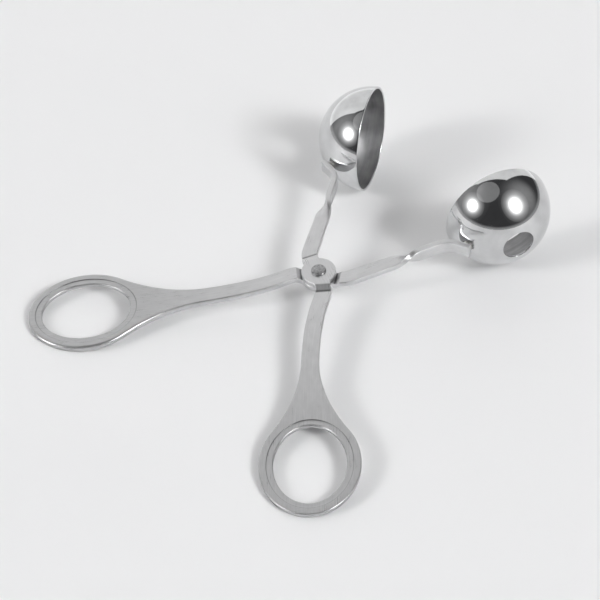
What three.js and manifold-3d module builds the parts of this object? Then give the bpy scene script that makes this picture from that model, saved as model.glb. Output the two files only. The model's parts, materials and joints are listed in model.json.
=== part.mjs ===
// Scissor-type meatball maker: two crossed pressed-steel arms on one rivet, each with an oval
// finger ring at one end and a hemispherical cup at the other. It lies on a table, half open.
// Millimetres, +Z up. +X runs along the tool towards the cups, and Y runs across it.
import * as THREE from 'three';
import { mergeVertices } from 'three/addons/utils/BufferGeometryUtils.js';
import Module from 'manifold-3d';

// Cups
const CUP_OUTER_RADIUS = 22.5;
const CUP_WALL = 1.0;
const CUP_DISTANCE = 78.9;
const POLE_HOLE_DIAMETER = 13.5;
const RIM_SETBACK = 0.15;

// Sheet that both arms are pressed from
const SHEET = 2.4;
const EDGE_CHAMFER = 0.4;

// Finger rings
const RING_HOLE_LENGTH = 36;
const RING_HOLE_WIDTH = 28;
const RING_BAND = 5.5;
const RING_STEP_WIDTH = 2.7;
const RING_STEP_DEPTH = 0.25;
const RING_REACH = 92.2;
const RING_SPREAD = 23.8;

// Handles
const HANDLE_ANGLE = 16.7;
const HANDLE_OFFSET = 4.75;
const HANDLE_BEND = 23;
const HANDLE_STRAIGHT = 2;
const NECK_WIDTH = 7.1;
const NECK_DISTANCE = 50;
const FLARE_TANGENT_ANGLE = 51;

// Strips across the pivot and out to the cups
const STRIP_WIDTH = 6.5;
const TAB_WIDTH = 5.6;
const CROSSING_ANGLE = 35.9;
const CROSSING_SHIFT = 0.83;
const CUP_STRIP_OFFSET = 7.0;
const CUP_STRIP_END_OFFSET = 8.25;
const CROSSING_BEND = 3.3;
const TWIST_START = 31;
const TWIST_LENGTH = 13;
const TAB_ANGLE = 51.5;
const TAB_BEND = 4.2;
const TAB_OVERHANG = 0.5;

// Pivot
const BOSS_RADIUS = 7.0;
const BOSS_GAP = 0.2;
const BOSS_BLEND = 8;
const RAMP_CLEARANCE = 0.25;
const RAMP_RUN = 1.8;
const RAMP_LAG = 0.35;
const RIVET_SHANK_DIAMETER = 4.0;
const RIVET_HEAD_DIAMETER = 6.0;
const RIVET_HEAD_HEIGHT = 0.9;
const RIVET_CLEARANCE = 0.2;

// Welds between tabs and cups
const WELD_DIAMETER = 3.8;
const WELD_THICKNESS = 0.5;
const WELD_CLEARANCE = 0.25;
const WELD_SETBACK = 1.7;

// How far each arm is swung from the closed pose, as the tool lies in the photograph
const HALF_OPENING = 25.45;

// Fineness of the facets
const STATION_SPACING = 1.2;
const EDGE_STEPS = 10;
const OVAL_STEPS = 48;
const CUP_SECTORS = 52;
const CUP_ARC_STEPS = 10;
const ROUND_SECTORS = 28;
const MERGE_TOLERANCE = 1e-4;

const FULL_TURN = 2 * Math.PI;
const radians = THREE.MathUtils.degToRad;
const heading = (degrees) => new THREE.Vector2(Math.cos(radians(degrees)), Math.sin(radians(degrees)));
const wasm = await Module();
wasm.setup();

// Turns a closed geometry into a solid that can be joined and cut.
function solidFrom(geometry) {
  geometry.deleteAttribute('normal');
  geometry.deleteAttribute('uv');
  const merged = mergeVertices(geometry, MERGE_TOLERANCE);
  const vertProperties = new Float32Array(merged.attributes.position.array);
  const triVerts = new Uint32Array(merged.index.array);
  return new wasm.Manifold(new wasm.Mesh({ numProp: 3, vertProperties, triVerts }));
}

// Turns a solid back into a geometry.
function geometryFrom(solid) {
  const mesh = solid.getMesh();
  const geometry = new THREE.BufferGeometry();
  geometry.setAttribute('position', new THREE.BufferAttribute(mesh.vertProperties, 3));
  geometry.setIndex(new THREE.BufferAttribute(mesh.triVerts, 1));
  return geometry;
}

// A path of straight runs whose corners are rounded by curves with the given legs.
function roundedPath(corners, legs) {
  const path = new THREE.CurvePath();
  let start = corners[0];
  for (let i = 1; i < corners.length - 1; i += 1) {
    const [legBefore, legAfter] = legs[i - 1];
    const before = corners[i - 1].clone().sub(corners[i]).setLength(legBefore).add(corners[i]);
    const after = corners[i + 1].clone().sub(corners[i]).setLength(legAfter).add(corners[i]);
    path.add(new THREE.LineCurve(start, before));
    path.add(new THREE.QuadraticBezierCurve(before, corners[i], after));
    start = after;
  }
  path.add(new THREE.LineCurve(start, corners.at(-1)));
  return path;
}

// Point and left-hand normal of a path at a distance along it.
function stationAt(path, distance) {
  const share = THREE.MathUtils.clamp(distance / path.getLength(), 0, 1);
  const tangent = path.getTangent(share);
  return { point: path.getPoint(share), normal: new THREE.Vector2(-tangent.y, tangent.x) };
}

// Layout of one arm, seen from above with the tool closed: the pivot is at the origin, the closing
// plane is y = 0, the cup lies on the -y side of it and the finger ring on the +y side.
const handleDirection = heading(-HANDLE_ANGLE);
const handleAcross = heading(90 - HANDLE_ANGLE);
const ringCentre = new THREE.Vector2(-RING_REACH, RING_SPREAD);
const handleRun = (RING_SPREAD - HANDLE_OFFSET) / Math.sin(radians(HANDLE_ANGLE));
const handleKnee = ringCentre.clone().addScaledVector(handleDirection, handleRun);

// The crossing run passes a little beside the pivot, on its cup side.
const crossingDirection = heading(-CROSSING_ANGLE);
const crossingFoot = heading(90 - CROSSING_ANGLE).multiplyScalar(-CROSSING_SHIFT);
function crossingAt(y) {
  const reach = (y - crossingFoot.y) / crossingDirection.y;
  return crossingFoot.clone().addScaledVector(crossingDirection, reach);
}
const crossingHandleEnd = crossingAt(HANDLE_OFFSET);
const crossingCupEnd = crossingAt(-CUP_STRIP_OFFSET);

// The tab lies along the cup, spaced from it by the weld.
const cupCentre = new THREE.Vector2(CUP_DISTANCE, 0);
const weldGap = WELD_THICKNESS + 2 * WELD_CLEARANCE;
const tabDirection = heading(-TAB_ANGLE);
const tabOutward = new THREE.Vector2(tabDirection.y, -tabDirection.x);
const tabTouch = cupCentre.clone().addScaledVector(tabOutward, CUP_OUTER_RADIUS + weldGap + SHEET / 2);
const tabRun = (-tabTouch.y - CUP_STRIP_END_OFFSET) / Math.sin(radians(TAB_ANGLE));
const tabBend = tabTouch.clone().addScaledVector(tabDirection, -tabRun);
const tabEnd = tabTouch.clone().addScaledVector(tabDirection, TAB_OVERHANG);

// Handle midline from the ring centre to the strip, and strip midline from the handle to the tab.
// They share one straight run, so that handle and strip overlap there.
const handleEnd = crossingHandleEnd.clone().setX(crossingHandleEnd.x - CROSSING_BEND);
const stripStart = handleEnd.clone().setX(handleEnd.x - HANDLE_STRAIGHT);
const handlePath = roundedPath(
  [ringCentre, handleKnee, handleEnd],
  [[HANDLE_BEND, stripStart.x - handleKnee.x]],
);
const stripPath = roundedPath(
  [stripStart, crossingHandleEnd, crossingCupEnd, tabBend, tabEnd],
  [[CROSSING_BEND, CROSSING_BEND], [CROSSING_BEND, CROSSING_BEND], [TAB_BEND, TAB_BEND]],
);

// Distance along the strip to the place beside the pivot, on the straight run after the first bend.
const [firstRun, firstBend, crossingRun] = stripPath.curves;
const footDistance = crossingRun.v1.distanceTo(crossingFoot);
const pivotDistance = firstRun.getLength() + firstBend.getLength() + footDistance;

// Each boss is set off the arm's plane by half the pitch of the two bosses. The face that looks at
// the other boss ramps back outside that boss, and the outer face follows a little further out, as
// the two faces of a bent sheet do.
const bossOffset = (SHEET + BOSS_GAP) / 2;
const innerRampStart = BOSS_RADIUS + RAMP_CLEARANCE;
const outerRampStart = innerRampStart + RAMP_LAG;

// Stretch of an oval concentric with the finger ring's hole, grown from it by a margin.
function ringOval(grow, fromAngle, toAngle) {
  const halfLength = RING_HOLE_LENGTH / 2 + grow;
  const halfWidth = RING_HOLE_WIDTH / 2 + grow;
  const points = [];
  for (let i = 0; i < OVAL_STEPS; i += 1) {
    const angle = THREE.MathUtils.lerp(fromAngle, toAngle, i / OVAL_STEPS);
    const point = ringCentre.clone().addScaledVector(handleDirection, halfLength * Math.cos(angle));
    points.push(point.addScaledVector(handleAcross, halfWidth * Math.sin(angle)));
  }
  return points;
}

// Half width of the handle at a distance from the ring centre: it flares from the neck, in a curve
// that leaves the neck along the handle and meets the ring's outer oval along its tangent.
const ringHalfLength = RING_HOLE_LENGTH / 2 + RING_BAND;
const ringHalfWidth = RING_HOLE_WIDTH / 2 + RING_BAND;
const flareAngle = radians(FLARE_TANGENT_ANGLE);
const flareRoot = new THREE.Vector2(Math.cos(flareAngle), Math.sin(flareAngle));
flareRoot.multiply(new THREE.Vector2(ringHalfLength, ringHalfWidth));
const flareSlope = -ringHalfWidth / (ringHalfLength * Math.tan(flareAngle));
const neckHalf = NECK_WIDTH / 2;
const flareCorner = new THREE.Vector2(flareRoot.x + (neckHalf - flareRoot.y) / flareSlope, neckHalf);
const flareNeck = new THREE.Vector2(NECK_DISTANCE, neckHalf);
const flare = new THREE.QuadraticBezierCurve(flareRoot, flareCorner, flareNeck);

// One edge of the handle from the ring to the strip; side is 1 for the left edge, -1 for the right.
function handleEdge(side) {
  const length = handlePath.getLength();
  const stations = flare.getPoints(EDGE_STEPS).map((p) => ({ distance: p.x, half: p.y }));
  for (let i = 1; i <= EDGE_STEPS; i += 1) {
    const share = i / EDGE_STEPS;
    stations.push({
      distance: THREE.MathUtils.lerp(NECK_DISTANCE, length, share),
      half: THREE.MathUtils.lerp(NECK_WIDTH, STRIP_WIDTH, share) / 2,
    });
  }
  return stations.map(({ distance, half }) => {
    const { point, normal } = stationAt(handlePath, distance);
    return point.addScaledVector(normal, side * half);
  });
}

// Flat of an arm: finger ring and handle, with chamfered edges.
function handleSolid() {
  const ringOutside = ringOval(RING_BAND, flareAngle, FULL_TURN - flareAngle).slice(1);
  const shape = new THREE.Shape([...handleEdge(1).reverse(), ...ringOutside, ...handleEdge(-1)]);
  shape.holes.push(new THREE.Path(ringOval(0, 0, FULL_TURN)));
  const geometry = new THREE.ExtrudeGeometry(shape, {
    depth: SHEET - 2 * EDGE_CHAMFER,
    bevelThickness: EDGE_CHAMFER,
    bevelSize: EDGE_CHAMFER,
    bevelOffset: -EDGE_CHAMFER,
    bevelSegments: 1,
  });
  geometry.translate(0, 0, EDGE_CHAMFER - SHEET / 2);
  return solidFrom(geometry);
}

// Sunk band round the ring's hole, as one cutter for each face.
function ringStepCutter(side) {
  const shape = new THREE.Shape(ringOval(RING_STEP_WIDTH, 0, FULL_TURN));
  const geometry = new THREE.ExtrudeGeometry(shape, { depth: SHEET, bevelEnabled: false });
  geometry.translate(0, 0, side * (SHEET - RING_STEP_DEPTH) - SHEET / 2);
  return solidFrom(geometry);
}

// Half width of the strip to one side of its midline, 1 for the left and -1 for the right: it swells
// round the pivot into the boss and narrows towards the tab.
function stripHalfWidth(fromPivot, side) {
  const share = THREE.MathUtils.smoothstep(fromPivot, innerRampStart, TWIST_START + TWIST_LENGTH);
  const strip = THREE.MathUtils.lerp(STRIP_WIDTH, TAB_WIDTH, share) / 2;
  const chord = Math.sqrt(Math.max(0, BOSS_RADIUS ** 2 - fromPivot ** 2));
  const boss = chord > 0 ? Math.max(0, chord + side * CROSSING_SHIFT) : 0;
  return (strip ** BOSS_BLEND + boss ** BOSS_BLEND) ** (1 / BOSS_BLEND);
}

// How far a face of the strip is set off the arm's plane, where its ramp starts at a given distance.
function bossSink(fromPivot, start) {
  return bossOffset * (THREE.MathUtils.clamp((Math.abs(fromPivot) - start) / RAMP_RUN, 0, 1) - 1);
}

// One cross section of the strip, a rectangle with chamfered corners.
function stripSection(distance) {
  const fromPivot = distance - pivotDistance;
  const { point, normal } = stationAt(stripPath, distance);
  const centre = new THREE.Vector3(point.x, point.y, 0);
  const turned = THREE.MathUtils.smoothstep(fromPivot, TWIST_START, TWIST_START + TWIST_LENGTH);
  const twist = -turned * Math.PI / 2;
  const level = new THREE.Vector3(normal.x, normal.y, 0);
  const upright = new THREE.Vector3(0, 0, 1);
  const across = level.clone().multiplyScalar(Math.cos(twist)).addScaledVector(upright, Math.sin(twist));
  const through = upright.clone().multiplyScalar(Math.cos(twist)).addScaledVector(level, -Math.sin(twist));
  const left = stripHalfWidth(fromPivot, 1);
  const right = stripHalfWidth(fromPivot, -1);
  const inner = SHEET / 2 + bossSink(fromPivot, innerRampStart);
  const outer = bossSink(fromPivot, outerRampStart) - SHEET / 2;
  const corners = [
    [left - EDGE_CHAMFER, outer],
    [left, outer + EDGE_CHAMFER],
    [left, inner - EDGE_CHAMFER],
    [left - EDGE_CHAMFER, inner],
    [EDGE_CHAMFER - right, inner],
    [-right, inner - EDGE_CHAMFER],
    [-right, outer + EDGE_CHAMFER],
    [EDGE_CHAMFER - right, outer],
  ];
  return corners.map(([a, t]) => centre.clone().addScaledVector(across, a).addScaledVector(through, t));
}

// Distances of the strip's cross sections: one at each end of every ramp, and even steps between.
function stripStations() {
  const marks = [0, stripPath.getLength()];
  for (const start of [innerRampStart, outerRampStart]) {
    for (const reach of [start, start + RAMP_RUN]) {
      marks.push(pivotDistance - reach, pivotDistance + reach);
    }
  }
  marks.sort((a, b) => a - b);
  const stations = [marks[0]];
  for (let i = 1; i < marks.length; i += 1) {
    const steps = Math.ceil((marks[i] - marks[i - 1]) / STATION_SPACING);
    for (let j = 1; j <= steps; j += 1) {
      stations.push(THREE.MathUtils.lerp(marks[i - 1], marks[i], j / steps));
    }
  }
  return stations;
}

// Strip of an arm: from the handle across the pivot, through the quarter twist, to the tab's end.
function stripSolid() {
  const sections = stripStations().map(stripSection);
  const sides = sections[0].length;
  const count = sections.length - 1;
  const positions = sections.flat().flatMap((corner) => corner.toArray());
  const index = [];
  for (let i = 0; i < count; i += 1) {
    for (let j = 0; j < sides; j += 1) {
      const near = i * sides + j;
      const nearNext = i * sides + ((j + 1) % sides);
      index.push(near, nearNext, near + sides, nearNext, nearNext + sides, near + sides);
    }
  }
  const last = count * sides;
  for (let j = 1; j < sides - 1; j += 1) {
    index.push(0, j + 1, j);
    index.push(last, last + j, last + j + 1);
  }
  const geometry = new THREE.BufferGeometry();
  geometry.setAttribute('position', new THREE.Float32BufferAttribute(positions, 3));
  geometry.setIndex(index);
  return solidFrom(geometry);
}

// Hole through the boss for the rivet.
function rivetHole() {
  const radius = RIVET_SHANK_DIAMETER / 2 + RIVET_CLEARANCE;
  const bossStack = 2 * SHEET + BOSS_GAP;
  const geometry = new THREE.CylinderGeometry(radius, radius, 2 * bossStack, ROUND_SECTORS);
  geometry.rotateX(Math.PI / 2);
  return solidFrom(geometry);
}

// Whole arm as one pressing.
function armGeometry() {
  let arm = handleSolid().add(stripSolid());
  for (const side of [1, -1]) arm = arm.subtract(ringStepCutter(side));
  return geometryFrom(arm.subtract(rivetHole()));
}

// Hemispherical cup: its mouth faces +y and its pole, with the round hole, faces -y.
function cupGeometry() {
  const holeRadius = POLE_HOLE_DIAMETER / 2;
  const arc = (radius, setback) => {
    const from = Math.asin(holeRadius / radius);
    const to = Math.acos(setback / radius);
    const points = [];
    for (let i = 0; i <= CUP_ARC_STEPS; i += 1) {
      const angle = THREE.MathUtils.lerp(from, to, i / CUP_ARC_STEPS);
      points.push(new THREE.Vector2(radius * Math.sin(angle), -radius * Math.cos(angle)));
    }
    return points;
  };
  const outside = arc(CUP_OUTER_RADIUS, RIM_SETBACK);
  const inside = arc(CUP_OUTER_RADIUS - CUP_WALL, RIM_SETBACK).reverse();
  return new THREE.LatheGeometry([...outside, ...inside, outside[0].clone()], CUP_SECTORS);
}

// Weld button, a flat drop whose axis is y.
function weldGeometry() {
  const radius = WELD_DIAMETER / 2;
  const half = WELD_THICKNESS / 2;
  const flat = radius - half;
  const profile = [[0, -half], [flat, -half], [radius, 0], [flat, half], [0, half]];
  return new THREE.LatheGeometry(profile.map(([r, y]) => new THREE.Vector2(r, y)), ROUND_SECTORS);
}

// Rivet: the shank through both bosses, with a low domed head above and below.
function rivetGeometry() {
  const shank = RIVET_SHANK_DIAMETER / 2;
  const head = RIVET_HEAD_DIAMETER / 2;
  const seat = SHEET + BOSS_GAP / 2 + RIVET_CLEARANCE;
  const top = seat + RIVET_HEAD_HEIGHT;
  const shoulder = seat + RIVET_HEAD_HEIGHT / 2;
  const crown = head - RIVET_HEAD_HEIGHT / 2;
  const upper = [[shank, seat], [head, seat], [head, shoulder], [crown, top], [0, top]];
  const lower = upper.map(([r, y]) => [r, -y]).reverse();
  const points = [...lower, ...upper].map(([r, y]) => new THREE.Vector2(r, y));
  const geometry = new THREE.LatheGeometry(points, ROUND_SECTORS);
  geometry.rotateX(Math.PI / 2);
  return geometry;
}

// Finishes
const satinSteel = { color: 0xb4b5b7, roughness: 0.36, metalness: 1 };
const polishedSteel = { color: 0xc4c5c8, roughness: 0.08, metalness: 1 };
const rivetSteel = { color: 0x8f9092, roughness: 0.45, metalness: 1 };
const weldSteel = { color: 0x9a9a9b, roughness: 0.5, metalness: 1 };

function piece(name, geometry, finish) {
  const mesh = new THREE.Mesh(geometry, new THREE.MeshStandardMaterial(finish));
  mesh.name = name;
  return mesh;
}

// One arm with its cup and weld, in the closed pose.
function armGroup(name) {
  const group = new THREE.Group();
  group.add(piece(name, armGeometry(), satinSteel));
  const cup = piece(`${name}_cup`, cupGeometry(), polishedSteel);
  cup.position.set(cupCentre.x, cupCentre.y, 0);
  group.add(cup);
  const weld = piece(`${name}_weld`, weldGeometry(), weldSteel);
  const weldRadius = CUP_OUTER_RADIUS + weldGap / 2;
  const weldPlace = cupCentre.clone().addScaledVector(tabOutward, weldRadius);
  weldPlace.addScaledVector(tabDirection, -WELD_SETBACK);
  weld.position.set(weldPlace.x, weldPlace.y, 0);
  weld.rotation.z = -radians(TAB_ANGLE);
  group.add(weld);
  return group;
}

// The open tool lies on its two cups and on the tips of its two rings, so its plane is tilted.
const halfOpening = radians(HALF_OPENING);
const cupReach = CUP_DISTANCE * Math.cos(halfOpening);
const ringTurn = radians(HANDLE_ANGLE) + halfOpening;
const openRing = ringCentre.clone().rotateAround(new THREE.Vector2(), -halfOpening);
const ringHalfSpan = Math.hypot(ringHalfLength * Math.cos(ringTurn), ringHalfWidth * Math.sin(ringTurn));
const restSpan = cupReach - (openRing.x - ringHalfSpan + EDGE_CHAMFER);
const restHeight = SHEET / 2;
const restSlope = Math.atan2(restHeight, restSpan);
const tilt = Math.asin(CUP_OUTER_RADIUS / Math.hypot(restSpan, restHeight)) - restSlope;

const tool = new THREE.Group();
tool.rotation.y = -tilt;

const lowerArm = armGroup('lower_arm');
lowerArm.rotation.z = -halfOpening;
tool.add(lowerArm);

const upperArm = new THREE.Group();
upperArm.rotation.z = halfOpening;
const turnedOver = armGroup('upper_arm');
turnedOver.rotation.x = Math.PI;
upperArm.add(turnedOver);
tool.add(upperArm);

tool.add(piece('pivot_rivet', rivetGeometry(), rivetSteel));

// The origin is on the table, under the middle of the tool's box.
const box = new THREE.Box3().setFromObject(tool, true);
tool.position.set(-(box.min.x + box.max.x) / 2, 0, -box.min.z);

const group = new THREE.Group();
group.add(tool);

export default group;
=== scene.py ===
# %% [markdown]
# # A scissor-type meatball maker in stainless steel
# The tool is two crossed steel arms on one rivet. Each arm has a finger ring at one end and half a
# ball at the other, and the two halves close on a portion of mince. It lies half open on a table.
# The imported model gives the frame: where the pivot is, how the arms swing, and which body each
# piece belongs to. Everything below is in metres and in that same frame.

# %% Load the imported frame
import bisect
import json
import math

import bmesh
import bpy
from mathutils import Matrix, Vector, noise


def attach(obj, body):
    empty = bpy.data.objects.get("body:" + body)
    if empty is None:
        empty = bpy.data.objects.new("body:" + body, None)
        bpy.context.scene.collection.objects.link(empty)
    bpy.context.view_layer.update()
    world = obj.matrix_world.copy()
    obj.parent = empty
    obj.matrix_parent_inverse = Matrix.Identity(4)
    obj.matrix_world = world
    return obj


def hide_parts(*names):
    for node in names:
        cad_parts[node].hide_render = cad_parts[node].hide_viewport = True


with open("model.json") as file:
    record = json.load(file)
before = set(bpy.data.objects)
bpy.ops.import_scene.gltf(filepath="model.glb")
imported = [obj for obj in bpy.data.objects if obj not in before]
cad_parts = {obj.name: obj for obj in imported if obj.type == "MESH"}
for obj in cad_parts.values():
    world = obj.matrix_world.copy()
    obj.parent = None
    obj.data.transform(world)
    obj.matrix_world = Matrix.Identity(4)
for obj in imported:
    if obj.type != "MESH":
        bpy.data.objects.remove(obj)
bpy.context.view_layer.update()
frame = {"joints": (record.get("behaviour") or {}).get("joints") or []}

MM = 0.001

# %% [markdown]
# ## The closed tool as a drawing board
# A maker draws both arms with the tool closed, because then they are the same part, one of them
# turned over. So each arm is made once on a flat board whose origin is the pivot, with u along the
# tool, v across it and w along the rivet. The board is then carried to its place: turned over for
# the upper arm, swung open, and tilted as the tool lies on the table. The pivot's place and axis
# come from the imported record, so the pieces land exactly where the frame's own parts are.

# %% Carry a point from the board to the table
pivot = next(joint for joint in frame["joints"] if joint["name"] == "pivot")
PIVOT_POINT = Vector(pivot["pos_m"])
PIVOT_AXIS = Vector(pivot["axis"]).normalized()
HALF_OPENING = math.radians(25.45)

along_tool = Vector((0, 1, 0)).cross(PIVOT_AXIS)
tilted_board = Matrix((along_tool, (0, 1, 0), PIVOT_AXIS)).transposed().to_4x4()
lying_tool = Matrix.Translation(PIVOT_POINT) @ tilted_board
TURNED_OVER = Matrix.Rotation(math.pi, 4, "X")

arm_places = {
    "lower_arm": lying_tool @ Matrix.Rotation(-HALF_OPENING, 4, "Z"),
    "upper_arm": lying_tool @ Matrix.Rotation(HALF_OPENING, 4, "Z") @ TURNED_OVER,
}
print("tilt of the tool:", round(math.degrees(math.asin(-PIVOT_AXIS.x)), 2), "degrees")

# %% [markdown]
# ## A helper for finished meshes
# Every piece is written as a list of points and a list of faces, and then becomes a smooth-shaded
# object. Each point also keeps its place in the piece's own measure, such as the distance along
# the strip and across it. That goes into a mesh attribute called grain, and the steels read it, so
# that brushing marks follow the metal round every bend. A UV map could do the same, but it has only
# two numbers and would need a seam. A second attribute, fold, can say how near a point is to an inner
# corner of the press, where the satin steel paints a thin line of shade.

# %% Make a smooth piece from points and faces
SAME_POINT = 1e-7


def make_piece(name, points, faces, grain, folds=()):
    mesh = bpy.data.meshes.new(name)
    mesh.from_pydata([tuple(point) for point in points], [], faces)
    mesh.polygons.foreach_set("use_smooth", [True] * len(mesh.polygons))
    layer = mesh.attributes.new("grain", "FLOAT_VECTOR", "POINT")
    layer.data.foreach_set("vector", [number for place in grain for number in place])
    if folds:
        mesh.attributes.new("fold", "FLOAT", "POINT").data.foreach_set("value", folds)
    tidy = bmesh.new()
    tidy.from_mesh(mesh)
    bmesh.ops.remove_doubles(tidy, verts=tidy.verts, dist=SAME_POINT)
    bmesh.ops.recalc_face_normals(tidy, faces=tidy.faces)
    tidy.to_mesh(mesh)
    tidy.free()
    piece = bpy.data.objects.new(name, mesh)
    bpy.context.scene.collection.objects.link(piece)
    print(name, len(mesh.vertices), "points", len(mesh.polygons), "faces")
    return piece


# %% [markdown]
# ## The midline of an arm
# Seen from above, an arm runs from its finger ring along the handle, crosses the closing line at
# the pivot, goes on beside that line and bends out to lie along its cup. A Bezier curve object
# could be drawn through it by eye. Here the line is a chain of straight runs whose corners are
# rounded, because that is how the bending tool shapes the real strip, and every corner then has a
# known place.

# %% Chain of straight runs with rounded corners
CUP_RADIUS = 22.5 * MM
CUP_DISTANCE = 78.9 * MM
SHEET = 2.4 * MM
RING_REACH = 92.2 * MM
RING_SPREAD = 23.8 * MM
HANDLE_ANGLE = math.radians(16.7)
HANDLE_OFFSET = 4.75 * MM
HANDLE_BEND = 23 * MM
HANDLE_STRAIGHT = 2 * MM
CROSSING_ANGLE = math.radians(35.9)
CROSSING_SHIFT = 0.83 * MM
CROSSING_BEND = 3.3 * MM
CUP_STRIP_OFFSET = 7.0 * MM
CUP_STRIP_END_OFFSET = 8.25 * MM
TAB_ANGLE = math.radians(51.5)
TAB_BEND = 4.2 * MM
TAB_OVERHANG = 0.5 * MM
WELD_GAP = 1.0 * MM
BEND_STEPS = 40


def heading(angle):
    return Vector((math.cos(angle), math.sin(angle)))


def rounded_line(corners, legs):
    line = [corners[0]]
    for before, corner, after, (leg_in, leg_out) in zip(corners, corners[1:], corners[2:], legs):
        start = corner + (before - corner).normalized() * leg_in
        stop = corner + (after - corner).normalized() * leg_out
        for step in range(BEND_STEPS + 1):
            share = step / BEND_STEPS
            line.append(start.lerp(corner, share).lerp(corner.lerp(stop, share), share))
    line.append(corners[-1])
    return line


ring_centre = Vector((-RING_REACH, RING_SPREAD))
handle_direction = heading(-HANDLE_ANGLE)
handle_run = (RING_SPREAD - HANDLE_OFFSET) / math.sin(HANDLE_ANGLE)
handle_knee = ring_centre + handle_direction * handle_run
crossing_direction = heading(-CROSSING_ANGLE)
crossing_foot = heading(math.pi / 2 - CROSSING_ANGLE) * -CROSSING_SHIFT


def on_crossing(v):
    return crossing_foot + crossing_direction * ((v - crossing_foot.y) / crossing_direction.y)


crossing_start = on_crossing(HANDLE_OFFSET)
crossing_end = on_crossing(-CUP_STRIP_OFFSET)
knee_leg = crossing_start.x - CROSSING_BEND - HANDLE_STRAIGHT - handle_knee.x
print("from the ring's centre to the knee:", round(handle_run / MM, 1), "mm")

# %% Bend that lays the tab along the cup
cup_centre = Vector((CUP_DISTANCE, 0))
tab_direction = heading(-TAB_ANGLE)
tab_outward = Vector((tab_direction.y, -tab_direction.x))
tab_touch = cup_centre + tab_outward * (CUP_RADIUS + WELD_GAP + SHEET / 2)
tab_run = (-tab_touch.y - CUP_STRIP_END_OFFSET) / math.sin(TAB_ANGLE)
tab_bend = tab_touch - tab_direction * tab_run
tab_end = tab_touch + tab_direction * TAB_OVERHANG

midline = rounded_line(
    [ring_centre, handle_knee, crossing_start, crossing_end, tab_bend, tab_end],
    [(HANDLE_BEND, knee_leg), (CROSSING_BEND, CROSSING_BEND), (CROSSING_BEND, CROSSING_BEND),
     (TAB_BEND, TAB_BEND)],
)
distances = [0.0]
for here, there in zip(midline, midline[1:]):
    distances.append(distances[-1] + (there - here).length)
ARM_LENGTH = distances[-1]
print("midline of an arm:", round(ARM_LENGTH / MM, 1), "mm from ring centre to tab end")

# %% Place and direction at any distance along the midline
run_directions = [(there - here).normalized() for here, there in zip(midline, midline[1:])]
point_directions = [run_directions[0]]
for arriving, leaving in zip(run_directions, run_directions[1:]):
    point_directions.append((arriving + leaving).normalized())
point_directions.append(run_directions[-1])


def on_midline(distance):
    run = min(max(bisect.bisect_right(distances, distance) - 1, 0), len(run_directions) - 1)
    share = (distance - distances[run]) / (distances[run + 1] - distances[run])
    turn = min(max(share, 0.0), 1.0)
    direction = point_directions[run].lerp(point_directions[run + 1], turn).normalized()
    return midline[run].lerp(midline[run + 1], share), direction


# The pivot lies beside the straight run that follows the second bend.
crossing_run = 2 * (BEND_STEPS + 1)
PIVOT_DISTANCE = distances[crossing_run] + (crossing_foot - midline[crossing_run]).length
print("the pivot is", round(PIVOT_DISTANCE / MM, 2), "mm along it")

# %% [markdown]
# ## Pressing a flat blank into an arm
# The real arm starts as a flat blank cut from 2.4 mm sheet. A press then offsets a round boss at the
# pivot, so that the two arms can cross, and twists the strip by a quarter turn so that its flat side
# lies against the cup. Blender could do this with lattices and Simple Deform modifiers, but their
# order and limits are hard to control. One function does it instead: it takes a place on the blank,
# as distance along, distance across and height through the sheet, and says where the press leaves it.
# Each face bends over corners of its own in the die. So the ramp beside the boss is written as a start
# and a run for the inner face, which is turned to the other arm, and for the outer one, where it is
# longer.

# %% The press: from a place on the blank to a place on the board
BOSS_RADIUS = 7.0 * MM
BOSS_GAP = 0.2 * MM
INNER_RAMP = Vector((7.25 * MM, 1.8 * MM))
OUTER_RAMP = Vector((7.2 * MM, 2.7 * MM))
RAMP_SOFT = 0.14
TWIST_START = 31 * MM
TWIST_LENGTH = 13 * MM
BOSS_OFFSET = (SHEET + BOSS_GAP) / 2
TWIST_END = TWIST_START + TWIST_LENGTH
handle_ramp_direction = -heading(-CROSSING_ANGLE / 2)


def smooth(value, low, high):
    share = min(max((value - low) / (high - low), 0.0), 1.0)
    return share * share * (3 - 2 * share)


def bent_up(share):
    bend = min(max(share + RAMP_SOFT, 0.0), 2 * RAMP_SOFT)
    return bend ** 2 / (4 * RAMP_SOFT) + max(share - RAMP_SOFT, 0.0)


def ramp_reach(along, across):
    point, direction = on_midline(along)
    plan = point + Vector((-direction.y, direction.x)) * across
    return max(plan.dot(crossing_direction), plan.dot(handle_ramp_direction))


def lowered_by(reach, ramp):
    start, run = ramp
    share = (reach - start) / run
    return BOSS_OFFSET * (1 - bent_up(share) + bent_up(share - 1))


def press(along, across, through):
    point, direction = on_midline(along)
    sideways = Vector((-direction.y, direction.x, 0))
    reach = ramp_reach(along, across)
    outer_face = lowered_by(reach, OUTER_RAMP)
    inner_face = lowered_by(reach, INNER_RAMP)
    lowered = outer_face + (inner_face - outer_face) * (0.5 + through / SHEET)
    twist = -math.pi / 2 * smooth(along - PIVOT_DISTANCE, TWIST_START, TWIST_END)
    upward = Vector((0, 0, 1))
    side_to_side = sideways * math.cos(twist) + upward * math.sin(twist)
    face_up = upward * math.cos(twist) - sideways * math.sin(twist)
    return Vector((point.x, point.y, -lowered)) + side_to_side * across + face_up * through


print("boss stands", round(BOSS_OFFSET / MM, 2), "mm off the arm's plane")

# %% [markdown]
# ## The outline of the blank
# The handle flares into the finger ring in one sweep, narrows to a neck, swells into the boss and
# then tapers to the tab. Each of these is a half width at a distance along the blank. The flare is a
# quadratic curve that meets the ring along its tangent, so no corner shows where they join.

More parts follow.
